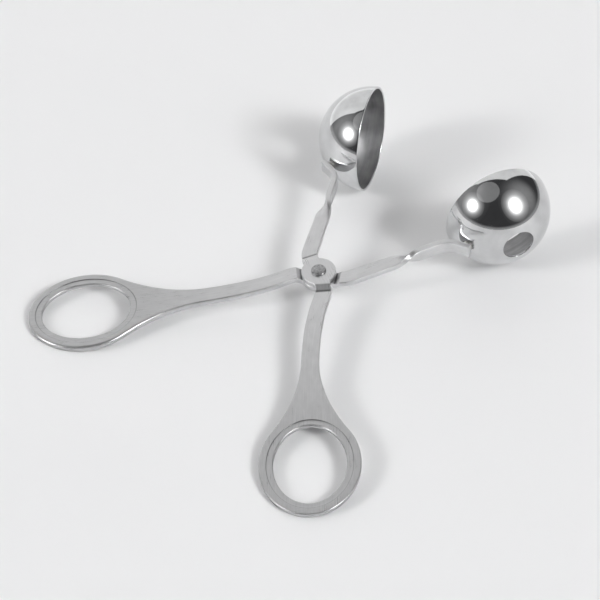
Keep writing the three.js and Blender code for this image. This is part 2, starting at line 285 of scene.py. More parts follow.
# %% Half width of the blank
RING_HOLE = Vector((18 * MM, 14 * MM))
RING_BAND = 5.5 * MM
NECK_HALF = 3.55 * MM
NECK_DISTANCE = 50 * MM
STRIP_HALF = 3.25 * MM
TAB_HALF = 2.8 * MM
FLARE_ANGLE = math.radians(51)
BOSS_BLEND = 8

ring_outside = RING_HOLE + Vector((RING_BAND, RING_BAND))
flare_root = Vector((ring_outside.x * math.cos(FLARE_ANGLE), ring_outside.y * math.sin(FLARE_ANGLE)))
flare_slope = -ring_outside.y / (ring_outside.x * math.tan(FLARE_ANGLE))
flare_corner = flare_root.x + (NECK_HALF - flare_root.y) / flare_slope
HANDLE_END = distances[BEND_STEPS + 2]


def flare_half(along):
    bow = flare_root.x - 2 * flare_corner + NECK_DISTANCE
    lead = flare_corner - flare_root.x
    rest = flare_root.x - along
    share = (math.sqrt(max(lead * lead - bow * rest, 0.0)) - lead) / bow
    return flare_root.y * (1 - share) ** 2 + NECK_HALF * (2 * (1 - share) * share + share * share)


def half_width(along, side):
    if along < NECK_DISTANCE:
        return flare_half(along)
    if along < HANDLE_END:
        share = (along - NECK_DISTANCE) / (HANDLE_END - NECK_DISTANCE)
        return NECK_HALF + (STRIP_HALF - NECK_HALF) * share
    from_pivot = along - PIVOT_DISTANCE
    strip = STRIP_HALF + (TAB_HALF - STRIP_HALF) * smooth(from_pivot, INNER_RAMP.x, TWIST_END)
    chord = math.sqrt(max(BOSS_RADIUS ** 2 - from_pivot ** 2, 0.0))
    boss = max(chord + side * CROSSING_SHIFT, 0.0) if chord else 0.0
    return (strip ** BOSS_BLEND + boss ** BOSS_BLEND) ** (1 / BOSS_BLEND)


for place in (flare_root.x, NECK_DISTANCE, HANDLE_END, PIVOT_DISTANCE, ARM_LENGTH):
    print("half width", round(half_width(place, 1) / MM, 2), "at", round(place / MM, 1))

# %% [markdown]
# ## Rounded edges
# A punch drags the metal down as it enters the sheet, so one face of a blank has rolled edges and the
# other has crisp ones that only tumbling has broken. One arm is turned over, so the tool shows a
# rolled face on one handle and a crisp face on the other. A Bevel modifier would give the same radius
# everywhere. Here each edge is a quarter oval with its own inset and drop for either face, broader on
# the ring than on the strip. A narrow flat lane beside it keeps the smooth shading of the curve from
# bleeding over the flat face.

# %% Profile of a rounded edge, where 1 is the rolled face and -1 the crisp one
RING_EDGES = {1: Vector((1.05 * MM, 0.75 * MM)), -1: Vector((0.42 * MM, 0.36 * MM))}
STRIP_EDGES = {1: Vector((0.42 * MM, 0.38 * MM)), -1: Vector((0.3 * MM, 0.27 * MM))}
EDGE_STEPS = 6
FLAT_LANE = 0.18 * MM
THICK = SHEET / 2


def rounded_quarter(along, face):
    size = RING_EDGES[face].lerp(STRIP_EDGES[face], smooth(along, flare_root.x, NECK_DISTANCE))
    turns = [step / EDGE_STEPS * math.pi / 2 for step in range(EDGE_STEPS + 1)]
    return [(size.x * (1 - math.sin(turn)), THICK - size.y * (1 - math.cos(turn))) for turn in turns]


def edge_profile(along):
    lower = [(inset, -through) for inset, through in reversed(rounded_quarter(along, -1))]
    return rounded_quarter(along, 1) + lower


print("edge points in a section:", len(edge_profile(NECK_DISTANCE)))

# %% [markdown]
# ## The strip as a loft
# From just past the ring to the tab, every cross section is a rectangle with rounded edges, so the
# strip is a loft: the same ring of points repeated along the blank, joined by quads, and pressed.
# Sections lie closer together than the eye can see, which keeps the boss round and the twist smooth.

# %% One section of the strip, as places on the blank
ROW_START = 25 * MM
FLAT_COLUMNS = 17
STEEPEST_EDGE = 2.2
SLOPE_STEP = 0.05 * MM


def flat_row(low, high):
    inner_low, inner_high = low + FLAT_LANE, high - FLAT_LANE
    steps = [k / (FLAT_COLUMNS - 1) for k in range(FLAT_COLUMNS)]
    return [low, *(inner_low + (inner_high - inner_low) * step for step in steps), high]


def edge_reach(along, side):
    ahead, behind = half_width(along + SLOPE_STEP, side), half_width(along - SLOPE_STEP, side)
    return min(math.hypot(1, (ahead - behind) / (2 * SLOPE_STEP)), STEEPEST_EDGE)


def section(along, shrink=0.0):
    profile = edge_profile(along)
    squeeze = (THICK - shrink) / THICK
    edges = {}
    for side in (1, -1):
        half = half_width(along, side) - shrink
        reach = edge_reach(along, side)
        edges[side] = [(side * (half - inset * reach), through * squeeze) for inset, through in profile]
    top = [(across, THICK * squeeze) for across in flat_row(edges[-1][0][0], edges[1][0][0])]
    bottom = [(across, -THICK * squeeze) for across in flat_row(edges[-1][-1][0], edges[1][-1][0])]
    around = top + edges[1][1:-1] + bottom[::-1] + edges[-1][-2:0:-1]
    return [(along, across, through) for across, through in around]


print("points in a section:", len(section(NECK_DISTANCE)))

# %% Stations of the loft, closer at the boss, and the rounded end of the tab
STATION = 0.4 * MM
BOSS_STATION = 0.15 * MM
BOSS_REACH = 10.5 * MM
END_ROUND = 0.4 * MM


def even_steps(start, stop, spacing):
    count = math.ceil((stop - start) / spacing)
    return [start + (stop - start) * step / count for step in range(count)]


boss_from, boss_to = PIVOT_DISTANCE - BOSS_REACH, PIVOT_DISTANCE + BOSS_REACH
tab_round = ARM_LENGTH - END_ROUND
stations = even_steps(ROW_START, boss_from, STATION) + even_steps(boss_from, boss_to, BOSS_STATION)
stations += even_steps(boss_to, tab_round, STATION) + [tab_round]
loft = [section(along) for along in stations]
for step in range(1, EDGE_STEPS + 1):
    turn = step / EDGE_STEPS * math.pi / 2
    along = ARM_LENGTH - END_ROUND * (1 - math.sin(turn))
    loft.append(section(along, END_ROUND * (1 - math.cos(turn))))
print("stations:", len(loft))

# %% [markdown]
# ## The finger ring as a fan of columns
# The ring is flat, with an oval hole and a shallow sunk band round it. A boolean could cut the hole
# and the band, but booleans leave long thin triangles that shade badly on polished steel. So the ring
# is a fan of columns instead. Each column runs from the wall of the hole, over the sunk band and the
# step, out to the edge. On the side of the handle the columns end on the first row of the loft and
# share its points, so ring and strip are one skin.

# %% The rim of the fan: outer edge, flare and first row
RING_STEPS = 168
FLARE_STEPS = 22

rim = []
for step in range(RING_STEPS):
    angle = FLARE_ANGLE + 2 * (math.pi - FLARE_ANGLE) * step / RING_STEPS
    rim.append(Vector((ring_outside.x * math.cos(angle), ring_outside.y * math.sin(angle))))
flare_length = ROW_START - flare_root.x
flare_places = [flare_root.x + flare_length * step / FLARE_STEPS for step in range(FLARE_STEPS)]
rim += [Vector((along, -flare_half(along))) for along in flare_places]

first_section = section(ROW_START)
ROW_SIZE = FLAT_COLUMNS + 2
right_corner = len(rim)
rim.append(Vector((ROW_START, -flare_half(ROW_START))))
rim += [Vector((along, across)) for along, across, _ in first_section[2 : ROW_SIZE - 2]]
left_corner = len(rim)
rim.append(Vector((ROW_START, flare_half(ROW_START))))
rim += [Vector((along, flare_half(along))) for along in reversed(flare_places[1:])]
print("columns in the fan:", len(rim))

# %% Profile from the hole to the flat of the ring
STEP_WIDTH = 2.7 * MM
STEP_DEPTH = 0.25 * MM
STEP_SLANT = 0.04 * MM
STEP_ROUND = 0.04 * MM
HOLE_EDGE = Vector((0.55 * MM, 0.5 * MM))
FLOOR_LEVEL = THICK - STEP_DEPTH

hole_profile = []
for step in range(EDGE_STEPS + 1):
    turn = step / EDGE_STEPS * math.pi / 2
    margin = HOLE_EDGE.x * (1 - math.cos(turn))
    hole_profile.append((margin, FLOOR_LEVEL - HOLE_EDGE.y * (1 - math.sin(turn))))
hole_profile += [
    (HOLE_EDGE.x + FLAT_LANE, FLOOR_LEVEL),
    (STEP_WIDTH / 2, FLOOR_LEVEL),
    (STEP_WIDTH - STEP_SLANT - 2 * STEP_ROUND, FLOOR_LEVEL),
    (STEP_WIDTH - STEP_SLANT - STEP_ROUND, FLOOR_LEVEL + STEP_ROUND / 4),
    (STEP_WIDTH - STEP_SLANT, FLOOR_LEVEL + STEP_ROUND),
    (STEP_WIDTH, THICK - STEP_ROUND),
    (STEP_WIDTH + STEP_ROUND, THICK - STEP_ROUND / 4),
    (STEP_WIDTH + 2 * STEP_ROUND, THICK),
    (STEP_WIDTH + 2 * STEP_ROUND + FLAT_LANE, THICK),
]
print("points from hole to flat:", len(hole_profile))


# %% One column of the fan, as places on the blank
def hole_column(spot):
    angle = math.atan2(spot.y / ring_outside.y, spot.x / ring_outside.x)
    column = []
    for margin, through in hole_profile:
        along = (RING_HOLE.x + margin) * math.cos(angle)
        column.append((along, (RING_HOLE.y + margin) * math.sin(angle), through))
    return column


def edge_column(number, face):
    spot = rim[number]
    across_rim = rim[(number + 1) % len(rim)] - rim[number - 1]
    outward = Vector((across_rim.y, -across_rim.x)).normalized()
    quarter = rounded_quarter(spot.x, face)
    lane = spot - outward * (quarter[0][0] + FLAT_LANE)
    column = [(lane.x, lane.y, THICK)]
    for inset, through in quarter:
        at = spot - outward * inset
        column.append((at.x, at.y, through))
    return column


print("points in an edge column:", len(hole_column(rim[0])) + len(edge_column(0, 1)))

# %% [markdown]
# ## Sewing the arm together
# Loft and fan are lists of places on the blank. They are numbered and joined by quads, and each
# place is then pressed into the arm's real shape. The fan is made once for each face, and the two
# meet along the wall of the hole and along the outer edge.

# %% Number the points of the loft
blank = []
loft_numbers = []
for ring_of_points in loft:
    loft_numbers.append(list(range(len(blank), len(blank) + len(ring_of_points))))
    blank += ring_of_points

SECTION_SIZE = len(first_section)
EDGE_SIZE = SECTION_SIZE // 2 - ROW_SIZE
seam = loft_numbers[0]
lower_seam = [seam[2 * ROW_SIZE + EDGE_SIZE - 1 - k] for k in range(SECTION_SIZE)]
print("loft:", len(blank), "places,", SECTION_SIZE, "in a section")


# %% Number the points of the fan, sharing the first section of the loft
def shared_points(number, seam_points):
    row = seam_points[:ROW_SIZE]
    if number == left_corner:
        return [row[-2], row[-1]] + seam_points[ROW_SIZE : ROW_SIZE + EDGE_STEPS]
    if number == right_corner:
        return [row[1], row[0]] + seam_points[: -EDGE_STEPS - 1 : -1]
    return [row[number - right_corner + 1]]


def number_fan(face, seam_points):
    numbered = []
    for number, spot in enumerate(rim):
        own = hole_column(spot)
        shared = []
        if right_corner <= number <= left_corner:
            shared = shared_points(number, seam_points)
        else:
            own += edge_column(number, face)
        numbered.append(list(range(len(blank), len(blank) + len(own))) + shared)
        blank.extend((along, across, through * face) for along, across, through in own)
    return numbered


upper_fan = number_fan(1, seam)
lower_fan = number_fan(-1, lower_seam)
print("places on the blank:", len(blank))

# %% Quads of the loft, and the end of the tab
arm_faces = [tuple(loft_numbers[-1])]
for near, far in zip(loft_numbers, loft_numbers[1:]):
    for k in range(SECTION_SIZE):
        arm_faces.append((near[k - 1], near[k], far[k], far[k - 1]))
print("faces of the strip:", len(arm_faces))

# %% Quads of the fan, on both faces and between them
FULL_COLUMN = len(upper_fan[0])
for number in range(len(rim)):
    for fan in (upper_fan, lower_fan):
        here, before = fan[number], fan[number - 1]
        for k in range(1, min(len(here), len(before))):
            arm_faces.append((before[k - 1], before[k], here[k], here[k - 1]))
    above, above_before = upper_fan[number], upper_fan[number - 1]
    below, below_before = lower_fan[number], lower_fan[number - 1]
    arm_faces.append((above_before[0], above[0], below[0], below_before[0]))
    if len(above) == len(above_before) == FULL_COLUMN:
        arm_faces.append((above_before[-1], above[-1], below[-1], below_before[-1]))
print("faces of an arm:", len(arm_faces))

# %% [markdown]
# ## Two arms and the hole for the rivet
# Both arms come from the same blank. The rivet's hole is drilled last, as it is on the real part. A
# Boolean modifier does that well here, because the cut lies under the rivet's head, where its odd
# triangles can't be seen. One helper puts a piece on both arms, and the cups and welds use it too.

# %% Drill a hole along the rivet's axis
SHANK_RADIUS = 2.0 * MM
RIVET_CLEARANCE = 0.2 * MM
DRILL_SIDES = 48
DRILL_LENGTH = 4 * SHEET


def drill(piece):
    bit = bmesh.new()
    radius = SHANK_RADIUS + RIVET_CLEARANCE
    bmesh.ops.create_cone(bit, cap_ends=True, segments=DRILL_SIDES, radius1=radius, radius2=radius,
                          depth=2 * DRILL_LENGTH, matrix=lying_tool)
    bit_mesh = bpy.data.meshes.new("drill_bit")
    bit.to_mesh(bit_mesh)
    bit.free()
    cutter = bpy.data.objects.new("drill_bit", bit_mesh)
    bpy.context.scene.collection.objects.link(cutter)
    cut = piece.modifiers.new("rivet hole", "BOOLEAN")
    cut.operation = "DIFFERENCE"
    cut.solver = "EXACT"
    cut.object = cutter
    scene_as_cut = bpy.context.evaluated_depsgraph_get()
    drilled = bpy.data.meshes.new_from_object(piece.evaluated_get(scene_as_cut))
    piece.modifiers.clear()
    piece.data = drilled
    bpy.data.objects.remove(cutter)
    print(piece.name, "drilled:", len(drilled.vertices), "points")


# %% Inner corners of the press ramps: at the foot on one face, beside the boss on the other
FOLD_WIDTH = 0.7 * MM


def fold_at(along, across, through):
    if abs(through) < THICK - SAME_POINT:
        return 0.0
    corner = INNER_RAMP.x if through > 0 else sum(OUTER_RAMP)
    return max(1 - abs(ramp_reach(along, across) - corner) / FOLD_WIDTH, 0.0)


# The fold share tells the satin steel where to paint a thin line of shade in the press's inner corners.
folds = [fold_at(*place) for place in blank]
print("places in a fold:", sum(fold > 0 for fold in folds))


# %% Press and drill both arms
def on_both_arms(name, node, points, faces, grain, folds=()):
    pieces = []
    for body, place in arm_places.items():
        piece = make_piece(body + name, [place @ point for point in points], faces, grain, folds)
        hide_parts(body + node)
        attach(piece, body)
        pieces.append(piece)
    return pieces


pressed = [press(*place) for place in blank]
arms = on_both_arms("_pressing", "", pressed, arm_faces, blank, folds)
for arm in arms:
    drill(arm)

# %% [markdown]
# ## The cups
# Each cup is half a ball drawn from 1 mm sheet, with a round hole punched at its pole that lets air
# out of the portion. Spinning a profile about an axis is the natural way to make it, and the Screw
# modifier could do that. Writing the turned points directly gives the same shape and also lets each
# point keep its place for the polishing marks, which run round the axis.

# %% Profile of a cup, from the pole hole over the outside to the rim and back inside
CUP_WALL = 1.0 * MM
POLE_HOLE_RADIUS = 6.75 * MM
RIM_SETBACK = 0.15 * MM
RIM_ROUND = 0.32 * MM
POLE_ROUND = 0.25 * MM
CUP_STEPS = 56
CUP_SECTORS = 144
ROUND_STEPS = 5


def ball_arc(radius, from_radius, to_setback):
    start = math.asin(from_radius / radius)
    stop = math.acos(to_setback / radius)
    turns = [start + (stop - start) * step / CUP_STEPS for step in range(CUP_STEPS + 1)]
    return [Vector((radius * math.sin(turn), -radius * math.cos(turn))) for turn in turns]


def soft_corner(before, corner, after, size):
    start = corner + (before - corner).normalized() * size
    stop = corner + (after - corner).normalized() * size
    shares = [step / ROUND_STEPS for step in range(ROUND_STEPS + 1)]
    return [start.lerp(corner, share).lerp(corner.lerp(stop, share), share) for share in shares]


INNER_RADIUS = CUP_RADIUS - CUP_WALL
outside = ball_arc(CUP_RADIUS, POLE_HOLE_RADIUS + POLE_ROUND, RIM_SETBACK + RIM_ROUND)
inside = ball_arc(INNER_RADIUS, POLE_HOLE_RADIUS + POLE_ROUND, RIM_SETBACK + RIM_ROUND)[::-1]
print("profile runs of", len(outside), "and", len(inside), "points")

# %% Rim and pole edges of the profile
outer_rim = Vector((math.sqrt(CUP_RADIUS ** 2 - RIM_SETBACK ** 2), -RIM_SETBACK))
inner_rim = Vector((math.sqrt(INNER_RADIUS ** 2 - RIM_SETBACK ** 2), -RIM_SETBACK))
outer_pole = Vector((POLE_HOLE_RADIUS, -math.sqrt(CUP_RADIUS ** 2 - POLE_HOLE_RADIUS ** 2)))
inner_pole = Vector((POLE_HOLE_RADIUS, -math.sqrt(INNER_RADIUS ** 2 - POLE_HOLE_RADIUS ** 2)))

rim_edge = soft_corner(outside[-1], outer_rim, inner_rim, RIM_ROUND)
rim_edge += soft_corner(outer_rim, inner_rim, inside[0], RIM_ROUND)
pole_edge = soft_corner(inside[-1], inner_pole, outer_pole, POLE_ROUND)
pole_edge += soft_corner(inner_pole, outer_pole, outside[0], POLE_ROUND)
cup_profile = outside[:-1] + rim_edge + inside[1:-1] + pole_edge[:-1]
INSIDE_RUN = range(len(outside) + len(rim_edge) - 2, len(cup_profile) - len(pole_edge) // 2)
print("cup profile:", len(cup_profile), "points")


# %% Spin a profile about an axis
def spin(profile, sectors, closed=True):
    points, faces = [], []
    size = len(profile)
    for sector in range(sectors):
        turn = 2 * math.pi * sector / sectors
        points += [Vector((spot.x * math.cos(turn), spot.y, spot.x * math.sin(turn))) for spot in profile]
        here, there = sector * size, (sector + 1) % sectors * size
        for k in range(size if closed else size - 1):
            after = (k + 1) % size
            faces.append((here + k, there + k, there + after, here + after))
    return points, faces


cup_points, cup_faces = spin(cup_profile, CUP_SECTORS)
print("points of a cup:", len(cup_points))


# %% Place both cups, polished outside and duller inside
def cup_grain(profile, sectors):
    arcs = [0.0]
    for here, there in zip(profile, profile[1:]):
        arcs.append(arcs[-1] + (there - here).length)
    places = []
    for sector in range(sectors):
        turn = 2 * math.pi * sector / sectors
        for arc, spot in zip(arcs, profile):
            places.append((arc, spot.x * math.cos(turn), spot.x * math.sin(turn)))
    return places


cup_place = Matrix.Translation((cup_centre.x, cup_centre.y, 0))
cup_marks = cup_grain(cup_profile, CUP_SECTORS)
cup_points = [cup_place @ point for point in cup_points]
cups = on_both_arms("_half_ball", "_cup", cup_points, cup_faces, cup_marks)

# %% [markdown]
# ## The welds
# A short tab at the end of each strip is joined to its cup by one weld. Molten metal wets both
# surfaces, so the bead is narrow in the middle and spreads at both ends, and it is never quite round.
# A sphere would look stuck on. This bead is a stack of rings from the flat of the tab to the ball,
# each with a radius that swells towards the ends and wavers round the bead.

# %% Rings of a weld bead
WELD_RADIUS = 1.65 * MM
WELD_SETBACK = 1.7 * MM
WELD_SPREAD = 0.3
WELD_SINK = 0.08 * MM
WELD_RINGS = 12
WELD_SECTORS = 48
WELD_LOBES = ((0.07, 3, 1.3, 0), (0.04, 5, 0, 4))


def bead_radius(height, turn):
    spread = 1 + WELD_SPREAD * (2 * height - 1) ** 2
    waver = 1
    for depth, count, start, lean in WELD_LOBES:
        waver += depth * math.sin(count * turn + start + lean * height)
    return WELD_RADIUS * spread * waver


def bead_point(height, turn):
    radius = bead_radius(height, turn)
    along = radius * math.cos(turn) - WELD_SETBACK
    upright = radius * math.sin(turn)
    tab_face = CUP_RADIUS + WELD_GAP + WELD_SINK
    ball_face = math.sqrt(CUP_RADIUS ** 2 - along ** 2 - upright ** 2) - WELD_SINK
    out = tab_face + (ball_face - tab_face) * height
    spot = cup_centre + tab_direction * along + tab_outward * out
    return Vector((spot.x, spot.y, upright))


print("waist of a bead:", round(bead_radius(0.5, 0) / MM, 2), "mm in radius")

# %% Place both welds
bead_points, bead_faces, bead_marks = [], [], []
for ring in range(WELD_RINGS + 1):
    for sector in range(WELD_SECTORS):
        turn = 2 * math.pi * sector / WELD_SECTORS
        bead_points.append(bead_point(ring / WELD_RINGS, turn))
        bead_marks.append(tuple(bead_points[-1]))
for ring in range(WELD_RINGS):
    for sector in range(WELD_SECTORS):
        here, before = ring * WELD_SECTORS + sector, ring * WELD_SECTORS + (sector - 1) % WELD_SECTORS
        bead_faces.append((before, here, here + WELD_SECTORS, before + WELD_SECTORS))
bead_faces.append(tuple(range(WELD_SECTORS)))
bead_faces.append(tuple(range(WELD_RINGS * WELD_SECTORS, len(bead_points))))

welds = on_both_arms("_weld_bead", "_weld", bead_points, bead_faces, bead_marks)

# %% [markdown]
# ## The rivet
# One rivet holds the arms together. Its head was pressed cold, so the crown is low and a little
# uneven, and the edge is rolled over. The profile is spun about the pivot, and the crown's points are
# then lifted and lowered by a few hundredths of a millimetre with Blender's own fixed noise.

# %% Profile of the rivet, from the lower crown to the upper crown
HEAD_RADIUS = 3.0 * MM
HEAD_HEIGHT = 0.9 * MM
HEAD_SEAT = SHEET + BOSS_GAP / 2 + RIVET_CLEARANCE
EDGE_ROLL = 0.42 * MM
CROWN_RISE = 0.26 * MM
CROWN_STEPS = 12
RIVET_SECTORS = 72

crown_radius = HEAD_RADIUS - EDGE_ROLL
crown_foot = HEAD_SEAT + HEAD_HEIGHT - CROWN_RISE
rivet_half = [Vector((SHANK_RADIUS, HEAD_SEAT)), Vector((HEAD_RADIUS, HEAD_SEAT))]
for step in range(ROUND_STEPS + 1):
    turn = step / ROUND_STEPS * math.pi / 2
    radius = crown_radius + EDGE_ROLL * math.cos(turn)
    rivet_half.append(Vector((radius, crown_foot - EDGE_ROLL * (1 - math.sin(turn)))))
for step in range(1, CROWN_STEPS + 1):
    share = 1 - step / CROWN_STEPS
    rivet_half.append(Vector((crown_radius * share, crown_foot + CROWN_RISE * (1 - share * share))))
rivet_profile = [Vector((spot.x, -spot.y)) for spot in reversed(rivet_half)] + rivet_half
print("rivet profile:", len(rivet_profile), "points")

# %% Spin the rivet and roughen its crown
UNEVEN_SIZE = 1.1 * MM
UNEVEN_LIFT = 0.02 * MM

rivet_points, rivet_faces = spin(rivet_profile, RIVET_SECTORS, closed=False)
for point in rivet_points:
    if abs(point.y) > crown_foot:
        point.y += UNEVEN_LIFT * noise.noise(point / UNEVEN_SIZE)
upright_axis = lying_tool @ Matrix.Rotation(math.pi / 2, 4, "X")
rivet = make_piece("pivot_rivet_pressed", [upright_axis @ point for point in rivet_points], rivet_faces,
                   [tuple(point) for point in rivet_points])
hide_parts("pivot_rivet")
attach(rivet, "lower_arm")

# %% [markdown]
# ## Steel finishes
# Everything on this tool is the same stainless steel, and the pieces differ only in how they were
# finished. Bare metal has no colour under its surface, so the look lies in how rough each spot is,
# which way the marks run, and small differences in tone. Each finish reads the grain attribute,
# stretches noise along the way the metal was worked, and feeds it to roughness, tone and a very
# shallow bump. Numbers that are the same everywhere are set on the shader itself.

# %% Helpers for a finish
def new_finish(name):
    finish = bpy.data.materials.new(name)
    finish.use_nodes = True
    shader = finish.node_tree.nodes["Principled BSDF"]
    shader.inputs["Metallic"].default_value = 1.0
    place = finish.node_tree.nodes.new("ShaderNodeAttribute")
    place.attribute_name = "grain"
    return finish.node_tree, shader, place.outputs["Vector"], finish


def reckon(tree, operation, place, other=None):
    sums = tree.nodes.new("ShaderNodeVectorMath")
    sums.operation = operation
    tree.links.new(place, sums.inputs[0])
    if other:
        sums.inputs[1].default_value = other
    return sums.outputs


def marks(tree, place, size, detail):
    scaled = reckon(tree, "DIVIDE", place, size)
    cloud = tree.nodes.new("ShaderNodeTexNoise")
    cloud.inputs["Scale"].default_value = 1.0
    cloud.inputs["Detail"].default_value = detail
    tree.links.new(scaled["Vector"], cloud.inputs["Vector"])
    return cloud.outputs["Fac"]


def combine(tree, first, second, share):
    mixed = tree.nodes.new("ShaderNodeMix")
    if isinstance(share, float):
        mixed.inputs["Factor"].default_value = share
    else:
        tree.links.new(share, mixed.inputs["Factor"])
    tree.links.new(first, mixed.inputs["A"])
    tree.links.new(second, mixed.inputs["B"])
    return mixed.outputs["Result"]


# %% Helpers that turn marks into roughness, tone and relief
MARK_LOW = 0.3
MARK_HIGH = 0.7


def stretch(tree, value, ends, levels):
    ranged = tree.nodes.new("ShaderNodeMapRange")
    ranged.inputs["From Min"].default_value, ranged.inputs["From Max"].default_value = ends
    ranged.inputs["To Min"].default_value, ranged.inputs["To Max"].default_value = levels
    tree.links.new(value, ranged.inputs["Value"])
    return ranged.outputs["Result"]


def set_roughness(tree, shader, mark, smoothest, roughest):
    ranged = stretch(tree, mark, (MARK_LOW, MARK_HIGH), (smoothest, roughest))
    tree.links.new(ranged, shader.inputs["Roughness"])


def set_tone(tree, shader, mark, dark, light, shade=None):
    ramp = tree.nodes.new("ShaderNodeValToRGB")
    ramp.color_ramp.elements[0].position = MARK_LOW
    ramp.color_ramp.elements[0].color = (*dark, 1)
    ramp.color_ramp.elements[1].position = MARK_HIGH
    ramp.color_ramp.elements[1].color = (*light, 1)
    tree.links.new(mark, ramp.inputs["Fac"])
    tone = ramp.outputs["Color"]
    if shade:
        shaded = tree.nodes.new("ShaderNodeVectorMath")
        shaded.operation = "SCALE"
        tree.links.new(tone, shaded.inputs["Vector"])
        tree.links.new(shade, shaded.inputs["Scale"])
        tone = shaded.outputs["Vector"]
    tree.links.new(tone, shader.inputs["Base Color"])


def set_relief(tree, shader, mark, depth):
    relief = tree.nodes.new("ShaderNodeBump")
    relief.inputs["Strength"].default_value = 1.0
    relief.inputs["Distance"].default_value = depth
    tree.links.new(mark, relief.inputs["Height"])
    tree.links.new(relief.outputs["Normal"], shader.inputs["Normal"])


# %% [markdown]
# ### Satin steel of the arms
# The arms were brushed lengthwise and then tumbled. Fine lines run along the metal, and larger soft
# patches are a touch duller. The handles' tone is painted darker towards the rings, a painted shade
# for the light they reflect less there. Thin dark lines of painted shade are drawn in the folds of the
# press ramps and in the corner of the sunk band round each ring's hole, where shade falls. An
# anisotropic shader could spread the highlight, but real lines in the roughness and the relief also
# hold up close to the camera.

# %% Painted shade in the corner of the sunk band and in the folds, as a share of the tone that is left
CORNER_SHADE_REACH = 0.4 * MM
CORNER_SHADE_FADE = 0.03 * MM
CORNER_SHADE = 0.5
FOLD_SHADE = 0.25


def keep(tree, operation, first, second):
    kept = tree.nodes.new("ShaderNodeMath")
    kept.operation = operation
    tree.links.new(first, kept.inputs[0])
    tree.links.new(second, kept.inputs[1])
    return kept.outputs["Value"]


# Painted shade: the share of the tone kept, lowered in the corner of the sunk band and in the press folds,
# where shade falls.
def shade_in_corners(tree, place):
    band = RING_HOLE + Vector((STEP_WIDTH, STEP_WIDTH))
    on_oval = reckon(tree, "DIVIDE", place, (band.x, band.y, 1))
    reach = reckon(tree, "LENGTH", on_oval["Vector"])["Value"]
    start, stop = 1 - CORNER_SHADE_REACH / band.y, 1 + CORNER_SHADE_FADE / band.y
    before_corner = stretch(tree, reach, (start, 1.0), (1.0, CORNER_SHADE))
    past_corner = stretch(tree, reach, (1.0, stop), (0.0, 1.0))
    fold = tree.nodes.new("ShaderNodeAttribute")
    fold.attribute_name = "fold"
    in_fold = stretch(tree, fold.outputs["Fac"], (0.0, 1.0), (1.0, FOLD_SHADE))
    return keep(tree, "MINIMUM", keep(tree, "MAXIMUM", before_corner, past_corner), in_fold)


print("painted shade lies", round(CORNER_SHADE_REACH / MM, 2), "mm wide in the corner of the band")

# %% Satin steel
MICRON = 1e-6
# Painted shade on the handles: the tone is darkest this far along from the ring's centre and lightest at
# the second distance.
HANDLE_SHADE_FROM = 20 * MM
HANDLE_SHADE_TO = 80 * MM
PATCH_SHARE = 0.4
HANDLE_SHADE_SHARE = 0.45

tree, shader, place, satin = new_finish("satin steel")
brushed = marks(tree, place, (14 * MM, 0.2 * MM, 0.2 * MM), 4)
patches = marks(tree, place, (6 * MM, 3 * MM, 3 * MM), 4)
worked = combine(tree, brushed, patches, PATCH_SHARE)
split = tree.nodes.new("ShaderNodeSeparateXYZ")
tree.links.new(place, split.inputs["Vector"])
# Painted shade: the handle's tone darkens from the middle of the arm towards its ring.
handle_shade = stretch(tree, split.outputs["X"], (HANDLE_SHADE_FROM, HANDLE_SHADE_TO), (MARK_LOW, MARK_HIGH))
# Painted shade: thin dark lines in the corner round each ring's hole and in the press folds.
painted_lines = shade_in_corners(tree, place)
toned = combine(tree, worked, handle_shade, HANDLE_SHADE_SHARE)
set_tone(tree, shader, toned, (0.45, 0.45, 0.455), (0.75, 0.75, 0.755), painted_lines)
set_roughness(tree, shader, worked, 0.24, 0.44)
set_relief(tree, shader, brushed, 4 * MICRON)
for arm in arms:
    arm.data.materials.append(satin)
print("arms:", satin.name)

# %% [markdown]
# ### Polished steel of the cups, and their dull insides
# Outside, the cups were buffed on a wheel until they mirror the room, with hair-thin marks round the
# axis and a slow waviness left from drawing the sheet over a punch. Round the weld the grinder left
# coarser scratches. Inside the cups were only scoured, so they are rougher and streaked, and their tone
# is painted much darker, a painted shade for the hollow. Both sides belong to one shell, so the cup
# has two material slots and each face picks one.

# %% Mirror outside, with the grinder's scratches round the weld
GROUND_RADIUS = 9 * MM
GROUND_CORE = 3.5 * MM
GROUND_SHARE = 0.3
BUFFED_SHARE = 0.04

weld_arc = CUP_RADIUS * (TAB_ANGLE - math.asin((POLE_HOLE_RADIUS + POLE_ROUND) / CUP_RADIUS))
weld_place = (weld_arc, -CUP_RADIUS * math.sin(TAB_ANGLE), 0)

tree, shader, place, mirror = new_finish("polished steel")
buffed = marks(tree, place, (0.16 * MM, 9 * MM, 9 * MM), 3)
smudged = marks(tree, place, (5 * MM, 6 * MM, 6 * MM), 2)
wavy = marks(tree, place, (9 * MM, 9 * MM, 9 * MM), 0)
scratched = marks(tree, place, (0.35 * MM, 3 * MM, 3 * MM), 3)
from_weld = reckon(tree, "DISTANCE", place, weld_place)
ground = stretch(tree, from_weld["Value"], (GROUND_RADIUS, GROUND_CORE), (0.0, GROUND_SHARE))
set_tone(tree, shader, smudged, (0.61, 0.615, 0.62), (0.69, 0.695, 0.70))
set_roughness(tree, shader, combine(tree, smudged, scratched, ground), 0.03, 0.075)
drawn = combine(tree, wavy, buffed, BUFFED_SHARE)
set_relief(tree, shader, combine(tree, drawn, scratched, ground), 9 * MICRON)
print("outside of the cups:", mirror.name)

# %% Scoured inside
DULL_SHARE = 0.5

tree, shader, place, scoured = new_finish("scoured steel with painted shade")
streaks = marks(tree, place, (2.2 * MM, 14 * MM, 14 * MM), 3)
dull = marks(tree, place, (9 * MM, 8 * MM, 8 * MM), 2)
streaked = combine(tree, streaks, dull, DULL_SHARE)
